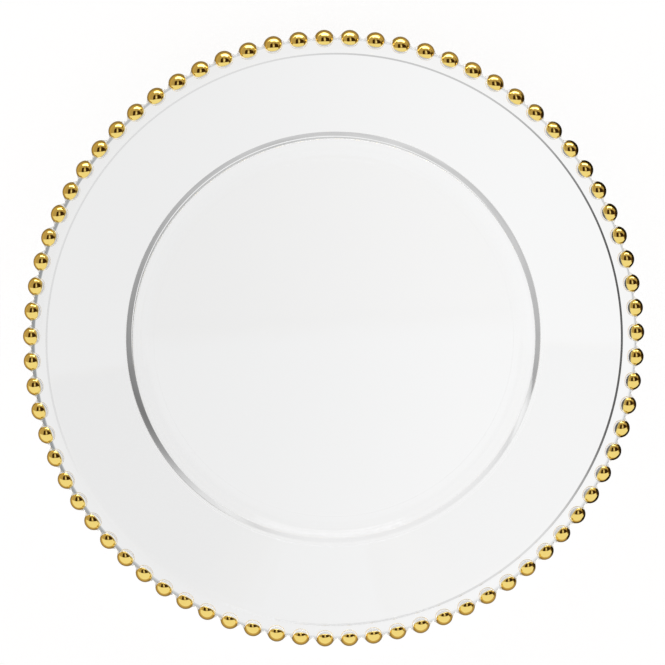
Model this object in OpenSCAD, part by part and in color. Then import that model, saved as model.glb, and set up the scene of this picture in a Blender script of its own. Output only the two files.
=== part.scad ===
/* [Overall] */
// Diameter over the gold of the beads
plate_d = 330; // [290:1:370]
// Height of the bead centres above the table
bead_z = 23.5; // [20:0.1:28]

/* [Beaded edge] */
// Number of beads round the edge
bead_count = 76; // [60:1:80]
// Diameter of a bare glass bead
bead_d = 9.3; // [7:0.1:9.8]
// Modelled thickness of the fired gold
gold_t = 0.15; // [0.1:0.05:0.3]
// Lean of the gold's edge over the bead towards the plate, from upright
gold_lean = 45; // [20:1:54]
// Lean of the gold's edge under the bead away from the plate, from upright
gold_under = 20; // [0:1:40]
// Gap between the gold and the glass of the flange
gold_gap = 0.05; // [0.02:0.01:0.1]
// Distance from the bead centres in to the bottom of the notches
notch_in = 0.2; // [0:0.1:1.4]
// Thickness of the glass web between two beads
web_t = 2.6; // [1.8:0.1:3.2]
// Slope of the notch flanks, from the tangent
notch_a = 44; // [36:1:50]

/* [Flange] */
// Distance from the crease out to the bead centres
flange_w = 8.2; // [7:0.1:12]
// Thickness of the flange
flange_t = 3.6; // [3.5:0.1:4.4]
// Rounding along the outer edges of the flange
edge_round = 1.6; // [0.4:0.1:1.7]
// Height of the step at the crease
crease_step = 1.5; // [0.6:0.1:1.7]
// Slope of the step's face, from the table
crease_a = 60; // [50:1:80]
// Rounding along both edges of the crease step
crease_round = 0.25; // [0.1:0.05:0.3]

/* [Rim] */
// Thickness of the sloping rim where it leaves the shoulder
rim_t = 3.6; // [3:0.1:4.2]
// Distance from the bead centres in to the bend under the flange
rim_end_in = 6.2; // [5.4:0.1:7]
// Radius of the bend under the flange
rim_bend = 6; // [3:0.5:8]

/* [Well] */
// Thickness of the glass in the floor
floor_t = 3.6; // [3.2:0.1:4.2]
// Slope of the well's wall, from the table
wall_a = 56.6; // [54:0.2:60]
// Height of the wall on its outer side, up to the shoulder
wall_h = 7.6; // [7.2:0.1:9]
// Thickness of the wall, square to its face
wall_t = 6; // [5:0.1:6.4]
// Radius of the bend from the floor up into the wall
well_bend = 6.8; // [4:0.1:7.2]
// Rounding over the shoulder, on the upper face
shoulder_top = 1.9; // [1:0.1:2.2]
// Rounding under the shoulder
shoulder_low = 1.7; // [1:0.1:3]

/* [Foot] */
// Diameter of the corner between the foot and the wall, before its bend
foot_d = 217.5; // [205:0.5:230]
// Radius of the bend from the foot up into the wall
foot_bend = 6.1; // [3:0.1:8]
// Distance from that corner in to the edge of the recess
foot_w = 10.1; // [8:0.1:24]
// Depth of the shallow recess inside the foot
recess = 0.3; // [0.2:0.1:0.8]
// Slope of the recess's edge
recess_a = 25; // [15:1:40]

/* [Hidden] */

// One overrun serves all cuts, and one lap all pieces that join
overrun = 2;
lap = 0.5;

// Facets of the drawn rounds
turn_fn = 228;
bead_fn = 40;
arc_steps = 6;

// The bead ring and the flange that carries it
bead_r = bead_d / 2;
gold_r = bead_r + gold_t;
ring_r = plate_d / 2 - gold_r;
notch_r = ring_r - notch_in;
flange_top = bead_z + flange_t / 2;
flange_low = bead_z - flange_t / 2;
pitch_a = 360 / bead_count;
half_pitch = notch_r * sin(pitch_a / 2);

// The web runs out under each bead as a blunt tooth
tooth_r = notch_r * cos(pitch_a / 2) + half_pitch * tan(notch_a);
tooth_cut_share = 0.55;
tooth_half = half_pitch * (1 - tooth_cut_share);
tooth_flat_r = tooth_r - tooth_half * tan(notch_a);

// Inner end of the flange, where it steps down to the rim
crease_r = ring_r - flange_w;
crease_z = flange_top - crease_step;
crease_top_r = crease_r + crease_step / tan(crease_a);

// The underside climbs from the foot up the wall and along the rim
foot_r = foot_d / 2;
recess_r = foot_r - foot_w;
recess_in_r = recess_r - recess / tan(recess_a);
recess_round_share = 0.8;
recess_round = recess_round_share * recess / sin(recess_a) / 2 / tan(recess_a / 2);
shoulder_r = foot_r + wall_h / tan(wall_a);
rim_end_r = ring_r - rim_end_in;
rim_a = atan2(flange_low - wall_h, rim_end_r - shoulder_r);

// The upper face lies one thickness over the floor, the wall and the rim's start
over_wall = [shoulder_r - wall_t * sin(wall_a), wall_h + wall_t * cos(wall_a)];
over_rim = [shoulder_r - rim_t * sin(rim_a), wall_h + rim_t * cos(rim_a)];
well = crossing([0, floor_t], 0, over_wall, wall_a);
shoulder = crossing(over_wall, wall_a, over_rim, rim_a);

function unit(v) = v / norm(v);
function turned(a) = a > 180 ? a - 360 : a < -180 ? a + 360 : a;
function flat(lists) = [for (one = lists) for (point = one) point];

// Where the line through p at slope a meets the line through q at slope b
function crossing(p, a, q, b) =
    let (gap = q - p)
    p + (gap.x * sin(b) - gap.y * cos(b)) / sin(b - a) * [cos(a), sin(a)];

// Points of the arc of radius r that rounds the corner b of the path a, b, c
function arc_at(a, b, c, r) =
    let (u = unit(a - b), v = unit(c - b))
    let (half = acos(u * v) / 2, reach = r / tan(half))
    let (centre = b + unit(u + v) * r / sin(half))
    let (from = b + u * reach - centre, to = b + v * reach - centre)
    let (a0 = atan2(from.y, from.x), sweep = turned(atan2(to.y, to.x) - a0))
    [for (i = [0:arc_steps]) centre + r * [cos(a0 + sweep * i / arc_steps), sin(a0 + sweep * i / arc_steps)]];

// A closed outline whose corners carry their own rounding: [x, y, radius]
function rounded(path) =
    let (last = len(path) - 1, at = [for (p = path) [p.x, p.y]])
    flat([for (i = [0:last])
        path[i].z > 0
            ? arc_at(at[i == 0 ? last : i - 1], at[i], at[i == last ? 0 : i + 1], path[i].z)
            : [at[i]]]);

// Half section of the plate, from the axis along the top and back underneath
section = [
    [0, floor_t, 0],
    [well.x, well.y, well_bend],
    [shoulder.x, shoulder.y, shoulder_top],
    [crease_r, crease_z, crease_round],
    [crease_top_r, flange_top, crease_round],
    [notch_r - lap, flange_top, edge_round],
    [notch_r - lap, flange_low, edge_round],
    [rim_end_r, flange_low, rim_bend],
    [shoulder_r, wall_h, shoulder_low],
    [foot_r, 0, foot_bend],
    [recess_r, 0, recess_round],
    [recess_in_r, recess, recess_round],
    [0, recess, 0]
];

// Places what follows on the bead ring, with +X outwards
module at_each_bead() {
    for (i = [0:bead_count - 1]) {
        rotate([0, 0, i * pitch_a]) translate([ring_r, 0, bead_z]) children();
    }
}

// Outline of the web: a blunt tooth behind each bead and a notch between two
module web_outline() {
    polygon([for (i = [0:bead_count - 1])
        for (corner = [[notch_r, -pitch_a / 2], [tooth_flat_r, -asin(tooth_half / tooth_flat_r)],
                       [tooth_flat_r, asin(tooth_half / tooth_flat_r)]])
            corner[0] * [cos(i * pitch_a + corner[1]), sin(i * pitch_a + corner[1])]]);
}

// One piece of pressed clear glass: dish, flange, webs and beads
module glass_plate() {
    color([0.92, 0.95, 0.94, 0.4]) union() {
        rotate_extrude($fn = turn_fn) polygon(rounded(section));
        translate([0, 0, bead_z - web_t / 2]) linear_extrude(web_t) difference() {
            web_outline();
            circle(r = notch_r - flange_t, $fn = turn_fn);
        }
        at_each_bead() sphere(r = bead_r, $fn = bead_fn);
    }
}

// The fired gold of one bead: a thin shell, open towards the plate in a wedge,
// with one slot that clears the flange and a thinner one that clears the web
module gold_cap() {
    clear = gold_r + overrun;
    top_in = clear * tan(gold_lean);
    low_out = clear * tan(gold_under);
    flange_out = gold_gap - notch_in - lap;
    web_out = tooth_flat_r - ring_r;
    difference() {
        sphere(r = gold_r, $fn = bead_fn);
        sphere(r = bead_r, $fn = bead_fn);
        rotate([90, 0, 0]) linear_extrude(2 * clear, center = true)
            polygon([[0, 0], [-top_in, clear], [-clear, clear], [-clear, -clear], [low_out, -clear]]);
        slot(flange_t, clear, flange_out);
        slot(web_t, clear, web_out);
    }
}

// A level slot across the bead, up to the given distance out from its centre
module slot(thickness, clear, out) {
    high = thickness + 2 * gold_gap;
    translate([-clear, -clear, -high / 2]) cube([clear + out, 2 * clear, high]);
}

module gold_caps() {
    color([0.85, 0.64, 0.22]) at_each_bead() gold_cap();
}

glass_plate();
gold_caps();
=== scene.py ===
import math
import random

import bpy
import numpy as np
from mathutils import Matrix, Vector


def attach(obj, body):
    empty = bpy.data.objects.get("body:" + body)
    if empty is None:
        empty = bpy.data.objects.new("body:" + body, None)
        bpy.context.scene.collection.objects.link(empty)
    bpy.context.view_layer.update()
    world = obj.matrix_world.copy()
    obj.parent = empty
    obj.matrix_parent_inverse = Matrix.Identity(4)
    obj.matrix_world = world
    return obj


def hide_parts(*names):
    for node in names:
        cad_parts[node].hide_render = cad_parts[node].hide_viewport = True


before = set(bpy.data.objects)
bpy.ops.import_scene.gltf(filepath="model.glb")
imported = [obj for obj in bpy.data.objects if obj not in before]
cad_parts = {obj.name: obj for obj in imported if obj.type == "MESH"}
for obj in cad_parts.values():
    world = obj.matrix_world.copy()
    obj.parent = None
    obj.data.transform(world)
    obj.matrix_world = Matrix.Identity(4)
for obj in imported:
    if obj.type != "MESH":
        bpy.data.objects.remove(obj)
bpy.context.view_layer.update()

# Lengths are in metres and angles in radians, unless a name or a comment says degrees
MM = 0.001

# The plate's driving sizes, as in the CAD model
PLATE_D = 330 * MM
BEAD_Z = 23.5 * MM
BEAD_COUNT = 76
GOLD_T = 0.15 * MM
GOLD_LEAN = math.radians(45)
GOLD_UNDER = math.radians(20)
NOTCH_IN = 0.2 * MM
WEB_T = 2.6 * MM
NOTCH_A = math.radians(44)
FLANGE_W = 8.2 * MM
FLANGE_T = 3.6 * MM
CREASE_STEP = 1.5 * MM
CREASE_A = math.radians(60)
RIM_END_IN = 6.2 * MM

# The CAD model's bead, and the half sizes of the real ones, which bulge along the ring:
# outwards, along the ring and up
BEAD_R = 4.65 * MM
BEAD_OUT = 4.35 * MM
BEAD_ALONG = 4.8 * MM
BEAD_UP = BEAD_R

# Foot, well and shoulder: corners of the section before their bends
FOOT_R = 108.75 * MM
FLOOR_T = 3.6 * MM
WALL_A = math.radians(56.6)
WALL_H = 7.6 * MM
WALL_T = 6 * MM
RIM_T = 3.6 * MM
FOOT_W = 10.1 * MM
RECESS = 0.3 * MM
RECESS_A = math.radians(25)

# Bends and roundings
WELL_BEND = 6.8 * MM
SHOULDER_TOP = 1.9 * MM
SHOULDER_LOW = 1.7 * MM
FOOT_BEND = 6.1 * MM
RIM_BEND = 6 * MM
CREASE_ROUND = 0.25 * MM
RECESS_ROUND = 1.2 * MM
EDGE_ROUND = 1.7 * MM
WEB_ROUND = 1.2 * MM
NOTCH_SOFT = 0.4 * MM
BEAD_FILLET = 0.35 * MM
WEB_FILLET = 0.6 * MM

# Derived places
RING_R = PLATE_D / 2 - BEAD_R - GOLD_T
FLANGE_TOP = BEAD_Z + FLANGE_T / 2
FLANGE_LOW = BEAD_Z - FLANGE_T / 2
PITCH = 2 * math.pi / BEAD_COUNT
NOTCH_R = RING_R - NOTCH_IN
CREASE_R = RING_R - FLANGE_W
CREASE_Z = FLANGE_TOP - CREASE_STEP
CREASE_TOP_R = CREASE_R + CREASE_STEP / math.tan(CREASE_A)
SHOULDER_R = FOOT_R + WALL_H / math.tan(WALL_A)
RIM_END_R = RING_R - RIM_END_IN
RIM_A = math.atan2(FLANGE_LOW - WALL_H, RIM_END_R - SHOULDER_R)
RECESS_R = FOOT_R - FOOT_W
RECESS_IN_R = RECESS_R - RECESS / math.tan(RECESS_A)
# the underside has one height at each radius from here out
UNDER_FROM_R = SHOULDER_R + 5 * MM
# where the turned dish meets the beaded edge, on top and underneath
JOIN_TOP_R = CREASE_TOP_R + 0.8 * MM
JOIN_LOW_R = CREASE_R + 0.2 * MM
# no web reaches further out than this, inside the beads
WEB_END_R = RING_R + 2 * MM
# the edge's cross-sections are traced outwards from this circle
CORE_R = RING_R - 2.4 * MM

# How fine the dish is: the turn of one step round a bend, and the longest step elsewhere
ARC_STEP = math.radians(2.5)
LONGEST_STEP = 4 * MM
# Where the edge's cross-sections lie on one side of a bead: over it, at these angles in
# degrees of a circle as wide as the bead; beside it, at these shares of its half width;
# and at these shares of the rest of the way to the notch
SLICES_OVER_BEAD = (0, 11, 22, 33, 43, 52, 60, 67, 73, 79, 84)
SLICES_BESIDE_BEAD = (1.005, 1.03, 1.07, 1.12)
SLICES_TO_NOTCH = (0.25, 0.5, 0.75, 1)
# The points of one cross-section, and how far and how finely each is searched for
EDGE_POINTS = 64
EDGE_SEARCH = 9 * MM
EDGE_HALVINGS = 40

# The gold caps: points round one, and from its middle to its edge
GOLD_AROUND = 64
GOLD_ALONG = 18
# the least distance to the flange and the web, and the steps in which it is looked for
GOLD_CLEAR = 0.3 * MM
GOLD_CLEAR_STEPS = 200
# how far the edge is brushed off its line
GOLD_WAVE = math.radians(1.5)
# how far and how finely the glass under a cap is searched for
GOLD_SEARCH = 8 * MM
GOLD_HALVINGS = 32
# the inner side of a cap floats just over the glass
GOLD_INNER = GOLD_T / 8
SEED = 7

WHITE = (1.0, 1.0, 1.0)
# a ray's depths are whole numbers, told apart half a step from each
HALF_STEP = 0.5

# Glass: its clearest and its densest colour, its polish, its worn foot ring and its
# ripples. Each noise is a scale and a detail
GLASS_IOR = 1.5
GLASS_SPECULAR = (0.35, 0.35, 0.35)
GLASS_CLEAR = (0.998, 0.999, 1.0)
GLASS_DENSE = (0.987, 0.989, 0.99)
GLASS_NOISE = (14, 2)
POLISH_NOISE = (30, 2)
POLISH_ROUGHNESS = 0.01
WORN_BELOW = 0.05 * MM
WORN_NOISE = (900, 4)
WORN_ROUGHNESS = 0.12
RIPPLE_NOISE = (45, 1)
RIPPLE_STRENGTH = 0.12
RIPPLE_DEPTH = 0.2 * MM

# Painted shade in the glass's colour on the rounded edge between two beads: a soft band round the plate
EDGE_PAINTED_SHADE = (0.12, 0.14, 0.15)
EDGE_MIDDLE = RING_R - 0.5 * MM
EDGE_HALF = 0.3 * MM
EDGE_SOFT = 0.4 * MM
# wider at the left, fully to not at all between these shares of x in the radius
EDGE_WIDER = 0.28 * MM
EDGE_WIDER_AT = (-0.9, -0.2)
# the depth of its painted shade for that share: at 0, times the share, times its square
EDGE_DEPTH = (0.28, -0.17, 0.3)

# Painted glow that the glass emits for light it mirrors inside itself this often: its level in the
# dish, what the right and the back add to it, and how much it varies in streaks
TRAPPED_DEPTH = 4
TRAPPED_LEVEL = 0.4
TRAPPED_SIDE = 0.11
TRAPPED_BACK = 0.2
TRAPPED_NOISE = (70, 3)
TRAPPED_STREAK = 0.5
# its least level in the bead ring
TRAPPED_EDGE = 0.85
# what the front adds, and the angles round from the left, in degrees, where it comes and goes
TRAPPED_FRONT = 0.65
FRONT_RISES = (25, 76)
FRONT_FALLS = (76, 150)

# The gold's looks. Its face leans by so much for each metre from the plate's middle
GOLD_LIGHT = (0.95, 0.75, 0.25)
GOLD_DEEP = (0.9, 0.67, 0.18)
GOLD_NOISE = (160, 3)
GOLD_FACE_LEAN = 1.9
GOLD_ROUGH_NOISE = (500, 4)
GOLD_ROUGH_LEAST = 0.02
GOLD_ROUGH_MORE = 0.1
DENT_NOISE = (280, 1)
DENT_STRENGTH = 0.5
DENT_DEPTH = 0.25 * MM

# The photograph's viewpoint, fitted to the 76 beads: a tilt about a level axis,
# then a roll, seen from a distance along the camera's axis
CAM_TILT = math.radians(-7.7645)
CAM_TILT_AXIS = math.radians(202.144)
CAM_ROLL = math.radians(2.585)
FIT_R = 161.1 * MM
CAM_DISTANCE = 4.5816 * FIT_R
CAM_OFFSET = (0.01497 * FIT_R, -0.04577 * FIT_R)
CAM_CLIP = 10 * MM
FIT_PIXELS = 303.973
FRAME_PIXELS = 665
SENSOR_MM = 36

# The studio. Boxes are low end, high end and softness in degrees: ahead and side
# count from the zenith to the front and to the right, around counts from the back
PANEL_LEVEL = 0.95
SIDE_LEVEL = 0.5
PANEL_FROM = (5, 7)
CEILING_LEVEL = 0.04
CEILING_AHEAD = (-50, 6, 2)
CEILING_SIDE = (-38, 64, 4)
GAP_LEVEL = 0.5
GAP_SIDE = (-7, 15, 3)
WINDOW_LEVEL = 0.9
WINDOW_AHEAD = (-32, -8, 4)
WINDOW_SIDE = (0, 12, 2)
STRIP_LEVEL = 4
STRIP_AROUND = (-15, 28, 8)
# middle, half height and softness of the strip, as the height of a direction
STRIP_HEIGHT = (0.05, 0.15, 0.1)
# the dark right: what it leaves of the light, and the sideways part of a direction
# from where it starts to where it is full
FLAG_SHARE = 0.1
FLAG_FROM = (0.88, 0.96)
# darker light is warmer: from warm to white over these levels, and from deep to warm
WARM = (1.0, 0.76, 0.42)
WARM_LEVELS = (0.3, 0.9)
DEEP = (1.0, 0.5, 0.25)
DEEP_LEVELS = (0.05, 0.3)

# The floor, and the share of glow over paint that the camera sees
FLOOR_SIZE = 0.75
FLOOR_Z = -0.2 * MM
FLOOR_PAINT = (0.9, 0.9, 0.94)
FLOOR_GLOW = 1.12
FLOOR_GLOW_SHARE = 0.8
# What the glass and the gold see of it, painted shade: under the plate from left to right
FLOOR_LEFT = 0.845
FLOOR_RIGHT = 0.94
FLOOR_GRADED = 130 * MM
# outside the plate through the glass, painted shade, with angles round the plate in degrees
DARK_FROM = 170 * MM
DARK_SOFT = 2 * MM
DARK_CENTRE = (1.7 * MM, -4.2 * MM)
FLOOR_OUTSIDE = 0.73
FLOOR_DARK = 0.08
FLOOR_BACK = 0.57
FLOOR_FRONT = 0.12
TO_RIGHT = (-50, -18)
TO_BACK = (15, 60)
TO_LEFT = (75, 105)
FRONT_BOX = (-150, -110, 20)
# and outside the plate in the gold, a painted reflection: near it, far off, and black to the right,
# from the first to the second share of x in the radius
FLOOR_NEAR = 0.3
FLOOR_FAR = 0.6
FAR_RANGE = (DARK_FROM + 10 * MM, DARK_FROM + 80 * MM)
FLOOR_BLACK = 0.02
BLACK_FROM = (0.6, 0.74)
# A painted highlight in the gold, drawn on the floor's glow as a white card behind the plate, out of
# the picture
PAINTED_HIGHLIGHT_LEVEL = 4
PAINTED_HIGHLIGHT_CENTRE = (0.0, 0.42)
PAINTED_HIGHLIGHT_HALF = (0.09, 0.12)
PAINTED_HIGHLIGHT_SOFT = 0.05


def crossing(point, slope, other, other_slope):
    """Where two lines meet, each given by a point and its slope's angle."""
    gap = (other[0] - point[0], other[1] - point[1])
    across = gap[0] * math.sin(other_slope) - gap[1] * math.cos(other_slope)
    along = across / math.sin(other_slope - slope)
    return (point[0] + along * math.cos(slope), point[1] + along * math.sin(slope))


def arc_points(before, corner, after, radius):
    """Points of the arc that rounds a corner between two others."""
    back = (before - corner).normalized()
    ahead = (after - corner).normalized()
    half = back.angle(ahead) / 2
    centre = corner + (back + ahead).normalized() * radius / math.sin(half)
    reach = radius / math.tan(half)
    start = corner + back * reach - centre
    end = corner + ahead * reach - centre
    first = math.atan2(start.y, start.x)
    sweep = math.remainder(math.atan2(end.y, end.x) - first, 2 * math.pi)
    steps = max(3, math.ceil(abs(sweep) / ARC_STEP))
    angles = [first + sweep * step / steps for step in range(steps + 1)]
    return [(centre.x + radius * math.cos(a), centre.y + radius * math.sin(a)) for a in angles]


def rounded(path):
    """Open path of (r, z, radius) corners as a fine list of (r, z) points."""
    points = []
    for index, (r, z, radius) in enumerate(path):
        if radius > 0:
            before, after = Vector(path[index - 1][:2]), Vector(path[index + 1][:2])
            points.extend(arc_points(before, Vector((r, z)), after, radius))
        else:
            points.append((r, z))
    return points


def subdivided(points):
    """The same path with no stretch longer than the longest step."""
    out = [points[0]]
    for a, b in zip(points, points[1:]):
        count = max(1, math.ceil(math.dist(a, b) / LONGEST_STEP))
        for step in range(1, count + 1):
            out.append(tuple(a[k] + (b[k] - a[k]) * step / count for k in (0, 1)))
    return out


def top_corners():
    """The well's corner and the shoulder, on the upper face."""
    wall = (SHOULDER_R - WALL_T * math.sin(WALL_A), WALL_H + WALL_T * math.cos(WALL_A))
    start = (SHOULDER_R - RIM_T * math.sin(RIM_A), WALL_H + RIM_T * math.cos(RIM_A))
    well = crossing((0, FLOOR_T), 0, wall, WALL_A)
    shoulder = crossing(wall, WALL_A, start, RIM_A)
    return well, shoulder


# The underside from the bead ring in to the axis, outermost point first
UNDER = rounded([
    (RING_R, FLANGE_LOW, 0),
    (RIM_END_R, FLANGE_LOW, RIM_BEND),
    (SHOULDER_R, WALL_H, SHOULDER_LOW),
    (FOOT_R, 0, FOOT_BEND),
    (RECESS_R, 0, RECESS_ROUND),
    (RECESS_IN_R, RECESS, RECESS_ROUND),
    (0, RECESS, 0)])


def under_z(r):
    """Height of the underside at a radius outside the shoulder."""
    outer = [point for point in UNDER if point[0] > UNDER_FROM_R][::-1]
    return np.interp(r, [point[0] for point in outer], [point[1] for point in outer])


JOIN_LOW_Z = float(under_z(JOIN_LOW_R))


def dish_paths():
    """The turned part of the plate: its path on top and its path underneath."""
    well, shoulder = top_corners()
    top = rounded([
        (0, FLOOR_T, 0),
        (*well, WELL_BEND),
        (*shoulder, SHOULDER_TOP),
        (CREASE_R, CREASE_Z, CREASE_ROUND),
        (CREASE_TOP_R, FLANGE_TOP, CREASE_ROUND),
        (JOIN_TOP_R, FLANGE_TOP, 0)])
    under = [(JOIN_LOW_R, JOIN_LOW_Z)] + [point for point in UNDER if point[0] < JOIN_LOW_R]
    return subdivided(top), subdivided(under)


def new_mesh_object(name, verts, faces, material, smooth=True):
    """A mesh object at the origin. The order of each face's corners turns it outwards."""
    mesh = bpy.data.meshes.new(name)
    mesh.from_pydata([tuple(v) for v in verts], [], faces)
    mesh.materials.append(material)
    mesh.polygons.foreach_set("use_smooth", [smooth] * len(mesh.polygons))
    mesh.update()
    obj = bpy.data.objects.new(name, mesh)
    bpy.context.scene.collection.objects.link(obj)
    return obj


def slice_angles():
    """Angles of the edge's cross-sections over one pitch, closer at a bead's sides."""
    bead_half = math.asin(BEAD_ALONG / RING_R)
    right = [bead_half * math.sin(math.radians(a)) for a in SLICES_OVER_BEAD]
    right += [bead_half * share for share in SLICES_BESIDE_BEAD]
    rest = PITCH / 2 - right[-1]
    right += [right[-1] + rest * share for share in SLICES_TO_NOTCH]
    return [-a for a in right[1:-1]][::-1] + right


def web_edge(offset):
    """Radius of the web's outer edge at an angle from the nearest bead."""
    from_notch = PITCH / 2 * NOTCH_R - np.abs(offset) * NOTCH_R
    rise = np.sqrt(from_notch ** 2 + NOTCH_SOFT ** 2) * math.tan(NOTCH_A)
    return np.minimum(NOTCH_R + rise, WEB_END_R)


def slab_distance(out, up, rounding):
    """Signed distance to a slab's rounded end, from how far a place is past its inner box."""
    outside = np.hypot(np.maximum(out, 0), np.maximum(up, 0))
    return outside + np.minimum(np.maximum(out, up), 0) - rounding


def flange_distance(r, z):
    """Signed distance to the flange and the rim's underside, with a round outer end."""
    lower = (under_z(r) - z) * np.where(r < RIM_END_R, math.cos(RIM_A), 1.0)
    up = np.maximum(z - FLANGE_TOP, lower) + EDGE_ROUND
    return slab_distance(r - (RING_R - EDGE_ROUND), up, EDGE_ROUND)


def web_distance(r, z, offset):
    """Signed distance to the web, with its notches and rounded edges."""
    out = (r - web_edge(offset)) * math.cos(NOTCH_A) + WEB_ROUND
    return slab_distance(out, np.abs(z - BEAD_Z) - (WEB_T / 2 - WEB_ROUND), WEB_ROUND)


def bead_distance(r, z, offset):
    """Near distance to the glass bead, an ellipsoid a little longer along the ring."""
    x, y, up = r * np.cos(offset) - RING_R, r * np.sin(offset), z - BEAD_Z
    inner = np.sqrt((x / BEAD_OUT) ** 2 + (y / BEAD_ALONG) ** 2 + (up / BEAD_UP) ** 2)
    slope = np.sqrt((x / BEAD_OUT ** 2) ** 2 + (y / BEAD_ALONG ** 2) ** 2 + (up / BEAD_UP ** 2) ** 2)
    return inner * (inner - 1) / np.maximum(slope, 1)


def soft_union(a, b, size):
    """Union of two distances with a fillet of about the given size."""
    near = np.maximum(size - np.abs(a - b), 0) / size
    return np.minimum(a, b) - near * near * size / 4


def edge_distance(r, z, offset):
    """Signed distance to flange, web and bead, blended with fillets."""
    bead = soft_union(bead_distance(r, z, offset), web_distance(r, z, offset), WEB_FILLET)
    return soft_union(flange_distance(r, z), bead, BEAD_FILLET)


def reach_inside(place_at, shape, longest, halvings):
    """How far each ray runs inside the glass, where place_at turns lengths into places."""
    low, high = np.zeros(shape), np.full(shape, longest)
    for _ in range(halvings):
        mid = (low + high) / 2
        inside = edge_distance(*place_at(mid)) < 0
        low, high = np.where(inside, mid, low), np.where(inside, high, mid)
    return low


def edge_section(offset, out, up):
    """One cross-section of the beaded edge as (r, z), traced from its core in given directions."""
    offsets = np.full(EDGE_POINTS, offset)

    def place_at(length):
        return CORE_R + out * length, BEAD_Z + up * length, offsets

    reach = reach_inside(place_at, EDGE_POINTS, EDGE_SEARCH, EDGE_HALVINGS)
    points = [(CORE_R + r * length, BEAD_Z + z * length) for r, z, length in zip(out, up, reach)]
    points[0] = (JOIN_TOP_R, FLANGE_TOP)
    points[-1] = (JOIN_LOW_R, JOIN_LOW_Z)
    return points


def edge_rows():
    """Rows of (r, z) round the beaded edge, from the join on top to the join underneath."""
    start = math.atan2(FLANGE_T / 2, JOIN_TOP_R - CORE_R)
    end = math.atan2(JOIN_LOW_Z - BEAD_Z, JOIN_LOW_R - CORE_R)
    angles = np.linspace(start, end, EDGE_POINTS)
    out, up = np.cos(angles), np.sin(angles)
    sections = [edge_section(offset, out, up) for offset in slice_angles()]
    return [[section[k] for section in sections] * BEAD_COUNT for k in range(EDGE_POINTS)]


def glass_rings():
    """Rings of points from the middle of the top, round the edge and back underneath."""
    top, under = dish_paths()
    angles = [bead * PITCH + offset for bead in range(BEAD_COUNT) for offset in slice_angles()]
    rows = [[point] * len(angles) for point in top[1:-1]]
    rows += edge_rows()
    rows += [[point] * len(angles) for point in under[1:-1]]
    return [[(r * math.cos(a), r * math.sin(a), z) for (r, z), a in zip(row, angles)] for row in rows]


def neighbours(count):
    """Each place round a ring, with the one after it."""
    return [(here, (here + 1) % count) for here in range(count)]


def build_glass(material):
    """The whole glass piece as one closed smooth mesh."""
    rings = glass_rings()
    count = len(rings[0])
    verts = [point for ring in rings for point in ring]
    last = len(verts) - count
    faces = []
    for inner in range(0, last, count):
        outer = inner + count
        for here, after in neighbours(count):
            faces.append((inner + here, outer + here, outer + after, inner + after))
    for pole_z, ring, under in ((FLOOR_T, 0, False), (RECESS, last, True)):
        pole = len(verts)
        verts.append((0, 0, pole_z))
        for here, after in neighbours(count):
            first, second = (after, here) if under else (here, after)
            faces.append((pole, ring + first, ring + second))
    return new_mesh_object("clear_glass_plate", verts, faces, material)


def bead_places(tilts, turns, length):
    """Places in a direction from a bead's centre, as radius, height and angle round the plate."""
    x = RING_R + length * np.cos(tilts)
    y = length * np.sin(tilts) * np.cos(turns)
    return np.hypot(x, y), BEAD_Z + length * np.sin(tilts) * np.sin(turns), np.arctan2(y, x)


def glass_reach(tilts, turns):
    """Distance from a bead's centre to the surface of the glass, in each direction."""
    def place_at(length):
        return bead_places(tilts, turns, length)

    return reach_inside(place_at, tilts.shape, GOLD_SEARCH, GOLD_HALVINGS)


def gold_limits(turns):
    """Angle from the outward axis at which the gold ends, for each direction round a bead."""
    over = np.arctan(np.maximum(np.sin(turns), 0) * math.tan(GOLD_LEAN) * BEAD_UP / BEAD_OUT)
    under = np.arctan(np.maximum(-np.sin(turns), 0) * math.tan(GOLD_UNDER) * BEAD_UP / BEAD_OUT)
    limits = math.pi / 2 + over - under
    # the gold stops before it comes too near to the flange or the web
    tilts = np.linspace(0, 1, GOLD_CLEAR_STEPS)[:, None] * limits
    r, z, offset = bead_places(tilts, turns[None, :] + 0 * tilts, (BEAD_OUT + BEAD_ALONG) / 2)
    gap = np.minimum(flange_distance(r, z), web_distance(r, z, offset))
    clear = np.where(gap < GOLD_CLEAR, 0, 1).cumprod(axis=0).sum(axis=0) - 1
    limits = tilts[clear, np.arange(len(turns))]
    # corners of the gold's edge are eased
    return (np.roll(limits, 1) + 2 * limits + np.roll(limits, -1)) / 4


def gold_shell(rng, turns, limits):
    """Outer and inner points of one cap in its bead's own axes, brushed on a little unevenly."""
    lean, skew = rng.uniform(-1, 1), rng.uniform(-1, 1)
    wave = lean * np.sin(turns) + skew * np.cos(2 * turns) + rng.uniform(-1, 1) * np.sin(3 * turns)
    tilts = np.linspace(0, 1, GOLD_ALONG + 1)[:, None] * (limits - np.abs(GOLD_WAVE * wave))
    around = turns[None, :] + 0 * tilts
    reach = glass_reach(tilts, around)
    shells = []
    for lift in (GOLD_T, GOLD_INNER):
        size = reach + lift
        x = size * np.cos(tilts)
        y = size * np.sin(tilts) * np.cos(around)
        z = size * np.sin(tilts) * np.sin(around)
        shells.append(np.stack([x, y, z], axis=-1).reshape(-1, 3))
    return np.concatenate(shells)


def gold_faces():
    """Faces of one cap: outer shell, inner shell and the edge between them."""
    shell_size = (GOLD_ALONG + 1) * GOLD_AROUND
    faces = []
    for ring in range(GOLD_ALONG):
        for here, after in neighbours(GOLD_AROUND):
            a, b = ring * GOLD_AROUND + here, ring * GOLD_AROUND + after
            c, d = a + GOLD_AROUND, b + GOLD_AROUND
            # the points of the first ring all lie on the cap's middle
            outer = (a, c, d) if ring == 0 else (a, c, d, b)
            faces.append(outer)
            faces.append(tuple(v + shell_size for v in outer[::-1]))
    for here, after in neighbours(GOLD_AROUND):
        a, b = GOLD_ALONG * GOLD_AROUND + here, GOLD_ALONG * GOLD_AROUND + after
        faces.append((a, a + shell_size, b + shell_size, b))
    return faces


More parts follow.
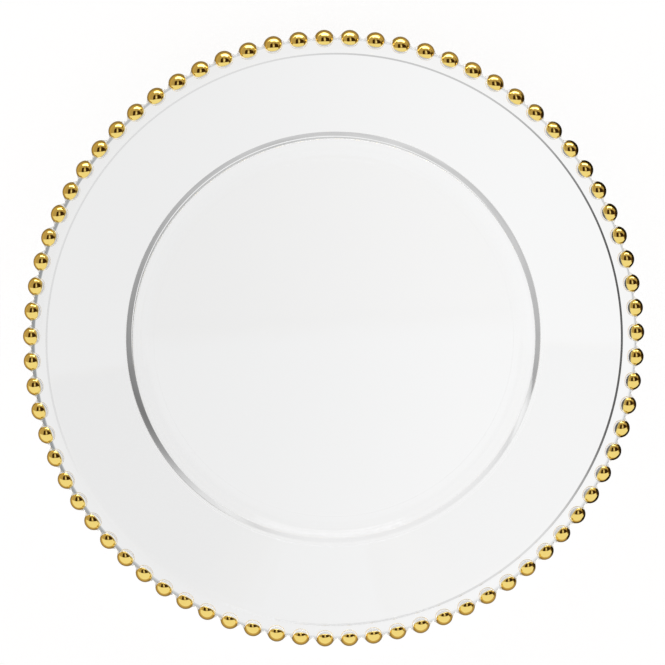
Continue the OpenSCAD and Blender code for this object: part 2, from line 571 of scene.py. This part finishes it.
def build_gold(material, rng):
    """Seventy-six thin caps of fired gold, each open towards the plate."""
    turns = np.arange(GOLD_AROUND) * 2 * math.pi / GOLD_AROUND
    limits = gold_limits(turns)
    cap_faces = gold_faces()
    verts = []
    faces = []
    for bead in range(BEAD_COUNT):
        cos, sin = math.cos(bead * PITCH), math.sin(bead * PITCH)
        local = gold_shell(rng, turns, limits)
        faces.extend(tuple(v + len(verts) for v in face) for face in cap_faces)
        x, y = RING_R + local[:, 0], local[:, 1]
        placed = np.stack([x * cos - y * sin, x * sin + y * cos, BEAD_Z + local[:, 2]], axis=-1)
        verts.extend(placed.tolist())
    return new_mesh_object("fired_gold_caps", verts, faces, material)


class Maths:
    """Short names for the shader arithmetic of one node tree. Values are sockets or numbers."""

    def __init__(self, tree):
        self.tree = tree

    def link(self, value, socket):
        """Sets a socket to a number or links it to another."""
        if isinstance(value, (int, float)):
            socket.default_value = value
        else:
            self.tree.links.new(value, socket)

    def op(self, operation, a, b=0.0, c=0.0):
        """One arithmetic node."""
        node = self.tree.nodes.new("ShaderNodeMath")
        node.operation = operation
        for value, socket in zip((a, b, c), node.inputs):
            self.link(value, socket)
        return node.outputs[0]

    def times(self, a, b):
        return self.op("MULTIPLY", a, b)

    def plus(self, a, b):
        return self.op("ADD", a, b)

    def minus(self, a, b):
        return self.op("SUBTRACT", a, b)

    def over(self, a, b):
        return self.op("DIVIDE", a, b)

    def higher(self, a, b):
        return self.op("MAXIMUM", a, b)

    def scaled(self, value, factor, start):
        """The value times a factor, plus a start."""
        return self.op("MULTIPLY_ADD", value, factor, start)

    def rest(self, share):
        """What a share leaves of 1."""
        return self.minus(1.0, share)

    def angle(self, a, b):
        """The angle whose tangent is a over b, all round the circle."""
        return self.op("ARCTAN2", a, b)

    def distance(self, x, y):
        """Length of the level vector (x, y)."""
        return self.op("SQRT", self.plus(self.times(x, x), self.times(y, y)))

    def away(self, x, y):
        """The same, kept off nought so that it can divide."""
        return self.higher(self.distance(x, y), MM)

    def ramp(self, value, low, high, start=0.0, end=1.0):
        """From start to end, smoothly, as the value goes from low to high."""
        node = self.tree.nodes.new("ShaderNodeMapRange")
        node.interpolation_type = "SMOOTHSTEP"
        for name, item in (("Value", value), ("From Min", low), ("From Max", high),
                           ("To Min", start), ("To Max", end)):
            self.link(item, node.inputs[name])
        return node.outputs[0]

    def degrees_ramp(self, value, low, high, start=0.0, end=1.0):
        """A ramp over an angle, with its two ends in degrees."""
        return self.ramp(value, math.radians(low), math.radians(high), start, end)

    def box(self, value, centre, half, edge):
        """1 within half of the centre, falling to 0 over the edge."""
        away = self.op("ABSOLUTE", self.minus(value, centre))
        return self.ramp(self.minus(half, away), -edge, 0.0)

    def degrees_box(self, value, low, high, edge):
        """1 between two angles given in degrees, with soft edges."""
        middle, half = math.radians(low + high) / 2, math.radians(high - low) / 2
        return self.box(value, middle, half, math.radians(edge))

    def noise(self, coords, scale, detail):
        """A noise of about 0 to 1."""
        node = self.tree.nodes.new("ShaderNodeTexNoise")
        self.tree.links.new(coords, node.inputs["Vector"])
        node.inputs["Scale"].default_value = scale
        node.inputs["Detail"].default_value = detail
        return node.outputs["Fac"]

    def blend(self, factor, first, second):
        """A colour between two, each a socket or a fixed colour, chosen by a factor of 0 to 1."""
        node = self.tree.nodes.new("ShaderNodeMix")
        node.data_type = "RGBA"
        self.link(factor, node.inputs["Factor"])
        # sockets 6 and 7 and output 2 are the node's colours
        for value, socket in ((first, node.inputs[6]), (second, node.inputs[7])):
            if isinstance(value, tuple):
                socket.default_value = (*value, 1)
            else:
                self.tree.links.new(value, socket)
        return node.outputs[2]

    def bump(self, height, strength, distance):
        """A normal that follows a height of 0 to 1 as if it were a distance."""
        node = self.tree.nodes.new("ShaderNodeBump")
        node.inputs["Strength"].default_value = strength
        node.inputs["Distance"].default_value = distance
        self.tree.links.new(height, node.inputs["Height"])
        return node.outputs[0]


def coordinates(tree, kind):
    """Texture coordinates of a kind, whole and split into x, y and z."""
    coords = tree.nodes.new("ShaderNodeTexCoord").outputs[kind]
    split = tree.nodes.new("ShaderNodeSeparateXYZ")
    tree.links.new(coords, split.inputs[0])
    return coords, split.outputs


def new_material(name):
    """A material with nodes, and the arithmetic of its tree."""
    mat = bpy.data.materials.new(name)
    mat.use_nodes = True
    return mat, Maths(mat.node_tree)


def painted_glow_at_front(maths, x, y):
    """What the painted glow gains towards the front, by the angle round the plate from the left."""
    to_front = maths.angle(maths.times(y, -1.0), maths.times(x, -1.0))
    rising = maths.degrees_ramp(to_front, *FRONT_RISES)
    return maths.times(rising, maths.degrees_ramp(to_front, *FRONT_FALLS, TRAPPED_FRONT, 0.0))


def painted_trapped_glow(maths, coords, x, y):
    """Light of rays that the glass has mirrored inside itself four times.

    Cycles drops them there, where real glass goes on and lets them out on the far side, so the glass
    emits this painted glow in their place. How bright it is depends on the side they come from.
    """
    depth = maths.tree.nodes.new("ShaderNodeLightPath").outputs["Glossy Depth"]
    last = maths.times(maths.op("GREATER_THAN", depth, TRAPPED_DEPTH - HALF_STEP),
                       maths.op("LESS_THAN", depth, TRAPPED_DEPTH + HALF_STEP))
    away = maths.away(x, y)
    to_side = maths.times(maths.over(x, away), TRAPPED_SIDE)
    to_back = maths.times(maths.over(y, away), TRAPPED_BACK)
    level = maths.plus(maths.plus(to_side, to_back), TRAPPED_LEVEL)
    level = maths.plus(level, painted_glow_at_front(maths, x, y))
    streak = maths.scaled(maths.noise(coords, *TRAPPED_NOISE), TRAPPED_STREAK, 1 - TRAPPED_STREAK / 2)
    at_edge = maths.ramp(away, CREASE_R, RING_R, 0.0, TRAPPED_EDGE)
    return maths.times(last, maths.higher(maths.times(level, streak), at_edge))


def painted_edge_shade(maths, x, y):
    """How deep the painted shade on the rounded edge between two beads is: wider and deeper at the
    left.
    """
    away = maths.distance(x, y)
    to_side = maths.over(x, maths.higher(away, MM))
    wider = maths.ramp(to_side, *EDGE_WIDER_AT, EDGE_WIDER, 0.0)
    middle = maths.minus(EDGE_MIDDLE, wider)
    edge = maths.box(away, middle, maths.plus(wider, EDGE_HALF), EDGE_SOFT)
    start, straight, curved = EDGE_DEPTH
    depth = maths.scaled(maths.scaled(to_side, curved, straight), to_side, start)
    return maths.times(edge, depth)


def glass_material():
    """Clear pressed glass: faint ripples, fire polish, a foot ring dulled by use, painted shade between
    the beads and a painted glow for light trapped inside it.
    """
    mat, maths = new_material("clear_glass")
    links = maths.tree.links
    coords, (x, y, z) = coordinates(maths.tree, "Object")
    sockets = maths.tree.nodes["Principled BSDF"].inputs
    sockets["IOR"].default_value = GLASS_IOR
    sockets["Transmission Weight"].default_value = 1
    sockets["Specular Tint"].default_value = (*GLASS_SPECULAR, 1)
    tint = maths.blend(maths.noise(coords, *GLASS_NOISE), GLASS_CLEAR, GLASS_DENSE)
    # painted shade on the edge between two beads, mixed into the glass's colour
    links.new(maths.blend(painted_edge_shade(maths, x, y), tint, EDGE_PAINTED_SHADE), sockets["Base Color"])
    # the foot ring rubs on the table
    worn = maths.times(maths.op("LESS_THAN", z, WORN_BELOW), maths.noise(coords, *WORN_NOISE))
    polish = maths.times(maths.noise(coords, *POLISH_NOISE), POLISH_ROUGHNESS)
    links.new(maths.plus(polish, maths.times(worn, WORN_ROUGHNESS)), sockets["Roughness"])
    ripple = maths.bump(maths.noise(coords, *RIPPLE_NOISE), RIPPLE_STRENGTH, RIPPLE_DEPTH)
    links.new(ripple, sockets["Normal"])
    # painted glow: the glass emits white light where Cycles drops rays trapped inside it
    sockets["Emission Color"].default_value = (*WHITE, 1)
    links.new(painted_trapped_glow(maths, coords, x, y), sockets["Emission Strength"])
    return mat


def leaned_normal(maths, y):
    """The surface's normal, turned outwards in step with the distance to the front or the back."""
    tree = maths.tree
    add = tree.nodes.new("ShaderNodeVectorMath")
    turn = tree.nodes.new("ShaderNodeCombineXYZ")
    tree.links.new(maths.times(y, GOLD_FACE_LEAN), turn.inputs["Y"])
    tree.links.new(tree.nodes.new("ShaderNodeNewGeometry").outputs["Normal"], add.inputs[0])
    tree.links.new(turn.outputs[0], add.inputs[1])
    unit = tree.nodes.new("ShaderNodeVectorMath")
    unit.operation = "NORMALIZE"
    tree.links.new(add.outputs[0], unit.inputs[0])
    return unit.outputs[0]


def gold_material():
    """Bright fired gold, a little uneven, its face leaning outwards at the front and the back."""
    mat, maths = new_material("fired_gold")
    links = maths.tree.links
    coords, (_, y, _) = coordinates(maths.tree, "Object")
    sockets = maths.tree.nodes["Principled BSDF"].inputs
    sockets["Metallic"].default_value = 1
    tint = maths.blend(maths.noise(coords, *GOLD_NOISE), GOLD_LIGHT, GOLD_DEEP)
    links.new(tint, sockets["Base Color"])
    grain = maths.noise(coords, *GOLD_ROUGH_NOISE)
    links.new(maths.scaled(grain, GOLD_ROUGH_MORE, GOLD_ROUGH_LEAST), sockets["Roughness"])
    dents = maths.bump(maths.noise(coords, *DENT_NOISE), DENT_STRENGTH, DENT_DEPTH)
    links.new(leaned_normal(maths, y), dents.node.inputs["Normal"])
    links.new(dents, sockets["Normal"])
    return mat


def add_camera():
    """The photograph's camera."""
    tilt_axis = Vector((math.cos(CAM_TILT_AXIS), math.sin(CAM_TILT_AXIS), 0))
    turn = Matrix.Rotation(CAM_TILT, 3, tilt_axis) @ Matrix.Rotation(CAM_ROLL, 3, "Z")
    spot = turn.transposed() @ Vector((-CAM_OFFSET[0], -CAM_OFFSET[1], CAM_DISTANCE))
    data = bpy.data.cameras.new("camera")
    data.sensor_width = SENSOR_MM
    data.lens = SENSOR_MM * FIT_PIXELS * CAM_DISTANCE / FIT_R / FRAME_PIXELS
    data.clip_start = CAM_CLIP
    camera = bpy.data.objects.new("camera", data)
    place = Matrix.Translation(spot + Vector((0, 0, BEAD_Z)))
    camera.matrix_world = place @ turn.transposed().to_4x4()
    bpy.context.scene.collection.objects.link(camera)
    bpy.context.scene.camera = camera


def ceiling_gap(maths, ahead, side):
    """The level of a gap in the dark ceiling, with a brighter window in it."""
    gap = maths.times(maths.degrees_box(ahead, *CEILING_AHEAD), maths.degrees_box(side, *GAP_SIDE))
    window = maths.times(maths.degrees_box(ahead, *WINDOW_AHEAD),
                         maths.degrees_box(side, *WINDOW_SIDE))
    return maths.higher(maths.times(gap, GAP_LEVEL), maths.times(window, WINDOW_LEVEL))


def studio_level(maths, x, y, z):
    """How bright the studio is in each direction."""
    ahead = maths.angle(maths.times(y, -1.0), z)
    side = maths.angle(x, z)
    around = maths.angle(x, y)
    walls = maths.degrees_ramp(ahead, *PANEL_FROM, SIDE_LEVEL, PANEL_LEVEL)
    ceiling = maths.times(maths.degrees_box(ahead, *CEILING_AHEAD),
                          maths.degrees_box(side, *CEILING_SIDE))
    level = maths.plus(maths.times(walls, maths.rest(ceiling)), maths.times(ceiling, CEILING_LEVEL))
    level = maths.higher(level, ceiling_gap(maths, ahead, side))
    level = maths.times(level, maths.ramp(x, *FLAG_FROM, 1.0, FLAG_SHARE))
    strip = maths.times(maths.degrees_box(around, *STRIP_AROUND), maths.box(z, *STRIP_HEIGHT))
    return maths.higher(level, maths.times(strip, STRIP_LEVEL))


def add_world():
    """A plain studio: bright front, dark ceiling with a window, a strip behind, dark right."""
    world = bpy.data.worlds.new("studio")
    bpy.context.scene.world = world
    world.use_nodes = True
    tree = world.node_tree
    maths = Maths(tree)
    _, (x, y, z) = coordinates(tree, "Generated")
    # straight through the glass, the backdrop is as white as beside it
    path = tree.nodes.new("ShaderNodeLightPath").outputs
    unmirrored = maths.op("LESS_THAN", path["Glossy Depth"], HALF_STEP)
    straight = maths.times(path["Is Transmission Ray"], unmirrored)
    level = maths.higher(studio_level(maths, x, y, z), maths.higher(path["Is Camera Ray"], straight))
    light = maths.blend(maths.ramp(level, *WARM_LEVELS), WARM, WHITE)
    sockets = tree.nodes["Background"].inputs
    tree.links.new(maths.blend(maths.ramp(level, *DEEP_LEVELS), DEEP, light), sockets["Color"])
    tree.links.new(level, sockets["Strength"])


def floor_through_glass(maths, x, y):
    """The floor's painted shade outside the plate for refracted rays, by the angle round the plate."""
    angle = maths.angle(y, x)
    right = maths.degrees_ramp(angle, *TO_RIGHT, FLOOR_OUTSIDE, FLOOR_DARK)
    back = maths.degrees_ramp(angle, *TO_BACK, FLOOR_DARK, FLOOR_BACK)
    left = maths.degrees_ramp(angle, *TO_LEFT, 0.0, FLOOR_OUTSIDE - FLOOR_BACK)
    front = maths.times(maths.degrees_box(angle, *FRONT_BOX), FLOOR_FRONT)
    return maths.plus(maths.plus(maths.higher(right, back), left), front)


def floor_in_gold(maths, x, y):
    """The floor's painted reflection in the gold outside the plate: dim near it, dark to the right."""
    away = maths.away(x, y)
    plain = maths.ramp(away, *FAR_RANGE, FLOOR_NEAR, FLOOR_FAR)
    return maths.ramp(maths.over(x, away), *BLACK_FROM, plain, FLOOR_BLACK)


def floor_seen_in_glass(maths, x, y, mirrored):
    """The floor's level for rays that the glass or the gold has turned, with painted shade under the
    plate and outside it.
    """
    inside = maths.ramp(x, -FLOOR_GRADED, FLOOR_GRADED, FLOOR_LEFT, FLOOR_RIGHT)
    outside = maths.plus(maths.times(floor_through_glass(maths, x, y), maths.rest(mirrored)),
                         maths.times(floor_in_gold(maths, x, y), mirrored))
    away = maths.distance(maths.minus(x, DARK_CENTRE[0]), maths.minus(y, DARK_CENTRE[1]))
    share = maths.ramp(away, DARK_FROM, DARK_FROM + DARK_SOFT)
    return maths.plus(maths.times(inside, maths.rest(share)), maths.times(outside, share))


def floor_glow(maths, path):
    """The floor's light: even for the camera, with painted shade, a painted reflection and a painted
    highlight where the glass and the gold see it.
    """
    _, (x, y, _) = coordinates(maths.tree, "Object")
    camera = path["Is Camera Ray"]
    # a ray that leaves the glass counts as glossy too, a mirrored one only as glossy
    mirrored = maths.times(path["Is Glossy Ray"], maths.rest(path["Is Transmission Ray"]))
    # the painted highlight shows only in the gold
    painted_highlight = maths.times(maths.box(x, PAINTED_HIGHLIGHT_CENTRE[0], PAINTED_HIGHLIGHT_HALF[0], PAINTED_HIGHLIGHT_SOFT),
                       maths.box(y, PAINTED_HIGHLIGHT_CENTRE[1], PAINTED_HIGHLIGHT_HALF[1], PAINTED_HIGHLIGHT_SOFT))
    painted_highlight = maths.times(painted_highlight, mirrored)
    seen = floor_seen_in_glass(maths, x, y, mirrored)
    level = maths.plus(maths.times(camera, FLOOR_GLOW), maths.times(maths.rest(camera), seen))
    level = maths.higher(level, maths.times(painted_highlight, PAINTED_HIGHLIGHT_LEVEL))
    glow = maths.tree.nodes.new("ShaderNodeEmission")
    maths.tree.links.new(level, glow.inputs["Strength"])
    # the gold sees the floor's painted reflection warm and the painted highlight white
    maths.tree.links.new(maths.blend(maths.minus(mirrored, painted_highlight), WHITE, WARM), glow.inputs["Color"])
    return glow


def mixed_shader(tree, share, first, second):
    """Two shader nodes mixed by a share of the second."""
    mix = tree.nodes.new("ShaderNodeMixShader")
    tree.links.new(share, mix.inputs[0])
    tree.links.new(first.outputs[0], mix.inputs[1])
    tree.links.new(second.outputs[0], mix.inputs[2])
    return mix


def floor_material():
    """A pale table, evenly white to the camera, with painted shade and painted reflections that only
    the glass and the gold see; transparent from below so that the plate's underside shows.
    """
    mat, maths = new_material("floor")
    tree = maths.tree
    tree.nodes.clear()
    path = tree.nodes.new("ShaderNodeLightPath").outputs
    paint = tree.nodes.new("ShaderNodeBsdfDiffuse")
    paint.inputs["Color"].default_value = (*FLOOR_PAINT, 1)
    # rays that look at the floor see its glow, and other light meets its paint
    direct = maths.higher(path["Is Camera Ray"], path["Is Glossy Ray"])
    direct = maths.higher(direct, path["Is Transmission Ray"])
    share = maths.times(direct, maths.scaled(path["Is Camera Ray"], FLOOR_GLOW_SHARE - 1, 1.0))
    table = mixed_shader(tree, share, paint, floor_glow(maths, path))
    below = tree.nodes.new("ShaderNodeNewGeometry").outputs["Backfacing"]
    clear = tree.nodes.new("ShaderNodeBsdfTransparent")
    out = tree.nodes.new("ShaderNodeOutputMaterial")
    tree.links.new(mixed_shader(tree, below, table, clear).outputs[0], out.inputs["Surface"])
    return mat


def add_floor():
    """One square of table under the plate."""
    size, z = FLOOR_SIZE, FLOOR_Z
    corners = [(-size, -size, z), (size, -size, z), (size, size, z), (-size, size, z)]
    new_mesh_object("floor", corners, [(0, 1, 2, 3)], floor_material(), smooth=False)


def main():
    rng = random.Random(SEED)
    glass = build_glass(glass_material())
    gold = build_gold(gold_material(), rng)
    for piece, node, slot in ((glass, "glass_plate", "clear_glass"), (gold, "gold_caps", "fired_gold")):
        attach(piece, "root")
        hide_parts(node)
    add_floor()
    add_world()
    add_camera()
    bpy.context.scene.view_settings.view_transform = "Standard"


main()
